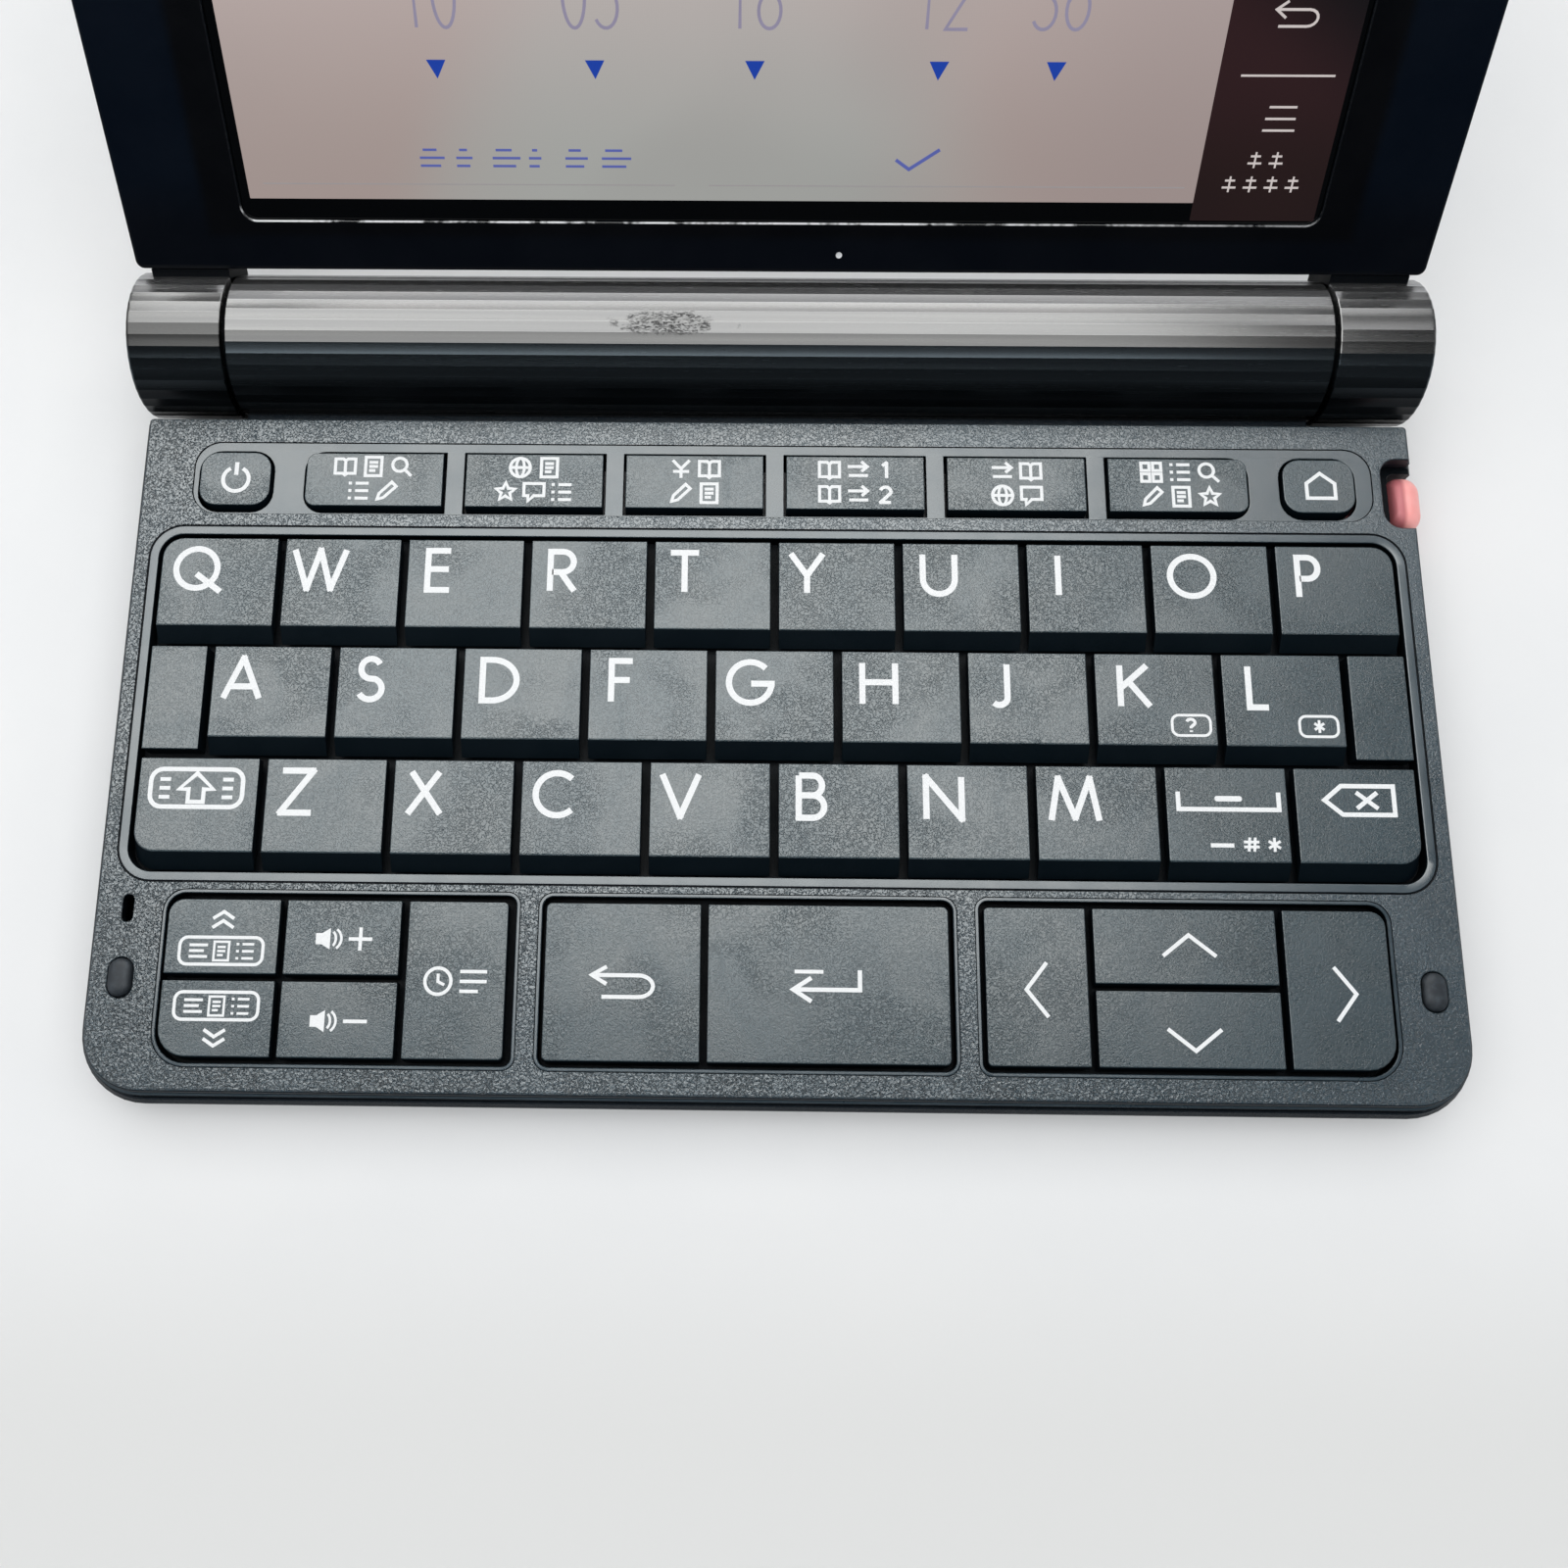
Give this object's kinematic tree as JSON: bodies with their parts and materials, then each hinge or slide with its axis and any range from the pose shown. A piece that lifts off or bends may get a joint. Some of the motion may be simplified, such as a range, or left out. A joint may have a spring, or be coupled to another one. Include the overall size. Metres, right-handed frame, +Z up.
{
  "type": "electronic dictionary",
  "caption": "Clamshell pocket electronic dictionary with letter keys, flush control keys, a faceted hinge barrel and a hinged display lid.",
  "frame": {"origin": "on the table, under the middle of the open object's bounding box", "axes": "+X along the hinge towards the stylus side, +Y from the front edge towards the lid, +Z up from the table"},
  "size_m": [0.1515, 0.1462, 0.0778],
  "materials": {
    "deck_plastic": "matte",
    "case_plastic": "satin",
    "key_plastic": "satin",
    "barrel_metal": "satin",
    "lid_plastic": "satin",
    "display": "gloss",
    "board": "satin",
    "rubber": "matte",
    "cell_wrap": "gloss",
    "stylus_pink": "satin"
  },
  "bodies": {
    "base": {"upper_case": "deck_plastic", "lower_case": "case_plastic", "board_speaker_screws": "board", "feet_and_bumpers": "rubber", "hinge_barrel": "barrel_metal", "cells_and_contacts": "cell_wrap"},
    "lid": {"hinge_end_caps": "barrel_metal", "lid_bezel": "lid_plastic", "lid_back_cover": "lid_plastic", "display_module": "display"},
    "battery_door": {"battery_door": "barrel_metal"},
    "stylus": {"stylus": "stylus_pink"},
    "key_q": {"key_q": "key_plastic"},
    "key_w": {"key_w": "key_plastic"},
    "key_e": {"key_e": "key_plastic"},
    "key_r": {"key_r": "key_plastic"},
    "key_t": {"key_t": "key_plastic"},
    "key_y": {"key_y": "key_plastic"},
    "key_u": {"key_u": "key_plastic"},
    "key_i": {"key_i": "key_plastic"},
    "key_o": {"key_o": "key_plastic"},
    "key_p": {"key_p": "key_plastic"},
    "key_a": {"key_a": "key_plastic"},
    "key_s": {"key_s": "key_plastic"},
    "key_d": {"key_d": "key_plastic"},
    "key_f": {"key_f": "key_plastic"},
    "key_g": {"key_g": "key_plastic"},
    "key_h": {"key_h": "key_plastic"},
    "key_j": {"key_j": "key_plastic"},
    "key_k": {"key_k": "key_plastic"},
    "key_l": {"key_l": "key_plastic"},
    "key_shift": {"key_shift": "key_plastic"},
    "key_z": {"key_z": "key_plastic"},
    "key_x": {"key_x": "key_plastic"},
    "key_c": {"key_c": "key_plastic"},
    "key_v": {"key_v": "key_plastic"},
    "key_b": {"key_b": "key_plastic"},
    "key_n": {"key_n": "key_plastic"},
    "key_m": {"key_m": "key_plastic"},
    "key_space": {"key_space": "key_plastic"},
    "key_delete": {"key_delete": "key_plastic"},
    "key_power": {"key_power": "key_plastic"},
    "key_f1": {"key_f1": "key_plastic"},
    "key_f2": {"key_f2": "key_plastic"},
    "key_f3": {"key_f3": "key_plastic"},
    "key_f4": {"key_f4": "key_plastic"},
    "key_f5": {"key_f5": "key_plastic"},
    "key_f6": {"key_f6": "key_plastic"},
    "key_home": {"key_home": "key_plastic"},
    "key_previous": {"key_previous": "key_plastic"},
    "key_next": {"key_next": "key_plastic"},
    "key_volume_up": {"key_volume_up": "key_plastic"},
    "key_volume_down": {"key_volume_down": "key_plastic"},
    "key_history": {"key_history": "key_plastic"},
    "key_back": {"key_back": "key_plastic"},
    "key_enter": {"key_enter": "key_plastic"},
    "key_left": {"key_left": "key_plastic"},
    "key_up": {"key_up": "key_plastic"},
    "key_down": {"key_down": "key_plastic"},
    "key_right": {"key_right": "key_plastic"}
  },
  "joints": [
    {"name": "lid_hinge", "type": "hinge", "parent": "base", "child": "lid", "pos_m": [0, 0.01395, 0.00872], "axis": [1, 0, 0], "range_deg": [-17, 127.8]},
    {"name": "stylus_slide", "type": "slide", "parent": "base", "child": "stylus", "axis": [1, 0, 0], "range_m": [0, 0.09]},
    {"name": "battery_door_slide", "type": "slide", "parent": "base", "child": "battery_door", "axis": [1, 0, 0], "range_m": [0, 0.0035]},
    {"name": "key_q_press", "type": "slide", "parent": "base", "child": "key_q", "axis": [0, 0, -1], "range_m": [0, 0.0009], "stiffness_N_per_m": 400, "springref_m": -0.0002},
    {"name": "key_w_press", "type": "slide", "parent": "base", "child": "key_w", "axis": [0, 0, -1], "range_m": [0, 0.0009], "stiffness_N_per_m": 400, "springref_m": -0.0002},
    {"name": "key_e_press", "type": "slide", "parent": "base", "child": "key_e", "axis": [0, 0, -1], "range_m": [0, 0.0009], "stiffness_N_per_m": 400, "springref_m": -0.0002},
    {"name": "key_r_press", "type": "slide", "parent": "base", "child": "key_r", "axis": [0, 0, -1], "range_m": [0, 0.0009], "stiffness_N_per_m": 400, "springref_m": -0.0002},
    {"name": "key_t_press", "type": "slide", "parent": "base", "child": "key_t", "axis": [0, 0, -1], "range_m": [0, 0.0009], "stiffness_N_per_m": 400, "springref_m": -0.0002},
    {"name": "key_y_press", "type": "slide", "parent": "base", "child": "key_y", "axis": [0, 0, -1], "range_m": [0, 0.0009], "stiffness_N_per_m": 400, "springref_m": -0.0002},
    {"name": "key_u_press", "type": "slide", "parent": "base", "child": "key_u", "axis": [0, 0, -1], "range_m": [0, 0.0009], "stiffness_N_per_m": 400, "springref_m": -0.0002},
    {"name": "key_i_press", "type": "slide", "parent": "base", "child": "key_i", "axis": [0, 0, -1], "range_m": [0, 0.0009], "stiffness_N_per_m": 400, "springref_m": -0.0002},
    {"name": "key_o_press", "type": "slide", "parent": "base", "child": "key_o", "axis": [0, 0, -1], "range_m": [0, 0.0009], "stiffness_N_per_m": 400, "springref_m": -0.0002},
    {"name": "key_p_press", "type": "slide", "parent": "base", "child": "key_p", "axis": [0, 0, -1], "range_m": [0, 0.0009], "stiffness_N_per_m": 400, "springref_m": -0.0002},
    {"name": "key_a_press", "type": "slide", "parent": "base", "child": "key_a", "axis": [0, 0, -1], "range_m": [0, 0.0009], "stiffness_N_per_m": 400, "springref_m": -0.0002},
    {"name": "key_s_press", "type": "slide", "parent": "base", "child": "key_s", "axis": [0, 0, -1], "range_m": [0, 0.0009], "stiffness_N_per_m": 400, "springref_m": -0.0002},
    {"name": "key_d_press", "type": "slide", "parent": "base", "child": "key_d", "axis": [0, 0, -1], "range_m": [0, 0.0009], "stiffness_N_per_m": 400, "springref_m": -0.0002},
    {"name": "key_f_press", "type": "slide", "parent": "base", "child": "key_f", "axis": [0, 0, -1], "range_m": [0, 0.0009], "stiffness_N_per_m": 400, "springref_m": -0.0002},
    {"name": "key_g_press", "type": "slide", "parent": "base", "child": "key_g", "axis": [0, 0, -1], "range_m": [0, 0.0009], "stiffness_N_per_m": 400, "springref_m": -0.0002},
    {"name": "key_h_press", "type": "slide", "parent": "base", "child": "key_h", "axis": [0, 0, -1], "range_m": [0, 0.0009], "stiffness_N_per_m": 400, "springref_m": -0.0002},
    {"name": "key_j_press", "type": "slide", "parent": "base", "child": "key_j", "axis": [0, 0, -1], "range_m": [0, 0.0009], "stiffness_N_per_m": 400, "springref_m": -0.0002},
    {"name": "key_k_press", "type": "slide", "parent": "base", "child": "key_k", "axis": [0, 0, -1], "range_m": [0, 0.0009], "stiffness_N_per_m": 400, "springref_m": -0.0002},
    {"name": "key_l_press", "type": "slide", "parent": "base", "child": "key_l", "axis": [0, 0, -1], "range_m": [0, 0.0009], "stiffness_N_per_m": 400, "springref_m": -0.0002},
    {"name": "key_shift_press", "type": "slide", "parent": "base", "child": "key_shift", "axis": [0, 0, -1], "range_m": [0, 0.0009], "stiffness_N_per_m": 400, "springref_m": -0.0002},
    {"name": "key_z_press", "type": "slide", "parent": "base", "child": "key_z", "axis": [0, 0, -1], "range_m": [0, 0.0009], "stiffness_N_per_m": 400, "springref_m": -0.0002},
    {"name": "key_x_press", "type": "slide", "parent": "base", "child": "key_x", "axis": [0, 0, -1], "range_m": [0, 0.0009], "stiffness_N_per_m": 400, "springref_m": -0.0002},
    {"name": "key_c_press", "type": "slide", "parent": "base", "child": "key_c", "axis": [0, 0, -1], "range_m": [0, 0.0009], "stiffness_N_per_m": 400, "springref_m": -0.0002},
    {"name": "key_v_press", "type": "slide", "parent": "base", "child": "key_v", "axis": [0, 0, -1], "range_m": [0, 0.0009], "stiffness_N_per_m": 400, "springref_m": -0.0002},
    {"name": "key_b_press", "type": "slide", "parent": "base", "child": "key_b", "axis": [0, 0, -1], "range_m": [0, 0.0009], "stiffness_N_per_m": 400, "springref_m": -0.0002},
    {"name": "key_n_press", "type": "slide", "parent": "base", "child": "key_n", "axis": [0, 0, -1], "range_m": [0, 0.0009], "stiffness_N_per_m": 400, "springref_m": -0.0002},
    {"name": "key_m_press", "type": "slide", "parent": "base", "child": "key_m", "axis": [0, 0, -1], "range_m": [0, 0.0009], "stiffness_N_per_m": 400, "springref_m": -0.0002},
    {"name": "key_space_press", "type": "slide", "parent": "base", "child": "key_space", "axis": [0, 0, -1], "range_m": [0, 0.0009], "stiffness_N_per_m": 400, "springref_m": -0.0002},
    {"name": "key_delete_press", "type": "slide", "parent": "base", "child": "key_delete", "axis": [0, 0, -1], "range_m": [0, 0.0009], "stiffness_N_per_m": 400, "springref_m": -0.0002},
    {"name": "key_power_press", "type": "slide", "parent": "base", "child": "key_power", "axis": [0, 0, -1], "range_m": [0, 0.0006], "stiffness_N_per_m": 400, "springref_m": -0.0002},
    {"name": "key_f1_press", "type": "slide", "parent": "base", "child": "key_f1", "axis": [0, 0, -1], "range_m": [0, 0.0006], "stiffness_N_per_m": 400, "springref_m": -0.0002},
    {"name": "key_f2_press", "type": "slide", "parent": "base", "child": "key_f2", "axis": [0, 0, -1], "range_m": [0, 0.0006], "stiffness_N_per_m": 400, "springref_m": -0.0002},
    {"name": "key_f3_press", "type": "slide", "parent": "base", "child": "key_f3", "axis": [0, 0, -1], "range_m": [0, 0.0006], "stiffness_N_per_m": 400, "springref_m": -0.0002},
    {"name": "key_f4_press", "type": "slide", "parent": "base", "child": "key_f4", "axis": [0, 0, -1], "range_m": [0, 0.0006], "stiffness_N_per_m": 400, "springref_m": -0.0002},
    {"name": "key_f5_press", "type": "slide", "parent": "base", "child": "key_f5", "axis": [0, 0, -1], "range_m": [0, 0.0006], "stiffness_N_per_m": 400, "springref_m": -0.0002},
    {"name": "key_f6_press", "type": "slide", "parent": "base", "child": "key_f6", "axis": [0, 0, -1], "range_m": [0, 0.0006], "stiffness_N_per_m": 400, "springref_m": -0.0002},
    {"name": "key_home_press", "type": "slide", "parent": "base", "child": "key_home", "axis": [0, 0, -1], "range_m": [0, 0.0006], "stiffness_N_per_m": 400, "springref_m": -0.0002},
    {"name": "key_previous_press", "type": "slide", "parent": "base", "child": "key_previous", "axis": [0, 0, -1], "range_m": [0, 0.0009], "stiffness_N_per_m": 400, "springref_m": -0.0002},
    {"name": "key_next_press", "type": "slide", "parent": "base", "child": "key_next", "axis": [0, 0, -1], "range_m": [0, 0.0009], "stiffness_N_per_m": 400, "springref_m": -0.0002},
    {"name": "key_volume_up_press", "type": "slide", "parent": "base", "child": "key_volume_up", "axis": [0, 0, -1], "range_m": [0, 0.0009], "stiffness_N_per_m": 400, "springref_m": -0.0002},
    {"name": "key_volume_down_press", "type": "slide", "parent": "base", "child": "key_volume_down", "axis": [0, 0, -1], "range_m": [0, 0.0009], "stiffness_N_per_m": 400, "springref_m": -0.0002},
    {"name": "key_history_press", "type": "slide", "parent": "base", "child": "key_history", "axis": [0, 0, -1], "range_m": [0, 0.0009], "stiffness_N_per_m": 400, "springref_m": -0.0002},
    {"name": "key_back_press", "type": "slide", "parent": "base", "child": "key_back", "axis": [0, 0, -1], "range_m": [0, 0.0009], "stiffness_N_per_m": 400, "springref_m": -0.0002},
    {"name": "key_enter_press", "type": "slide", "parent": "base", "child": "key_enter", "axis": [0, 0, -1], "range_m": [0, 0.0009], "stiffness_N_per_m": 400, "springref_m": -0.0002},
    {"name": "key_left_press", "type": "slide", "parent": "base", "child": "key_left", "axis": [0, 0, -1], "range_m": [0, 0.0009], "stiffness_N_per_m": 400, "springref_m": -0.0002},
    {"name": "key_up_press", "type": "slide", "parent": "base", "child": "key_up", "axis": [0, 0, -1], "range_m": [0, 0.0009], "stiffness_N_per_m": 400, "springref_m": -0.0002},
    {"name": "key_down_press", "type": "slide", "parent": "base", "child": "key_down", "axis": [0, 0, -1], "range_m": [0, 0.0009], "stiffness_N_per_m": 400, "springref_m": -0.0002},
    {"name": "key_right_press", "type": "slide", "parent": "base", "child": "key_right", "axis": [0, 0, -1], "range_m": [0, 0.0009], "stiffness_N_per_m": 400, "springref_m": -0.0002}
  ]
}
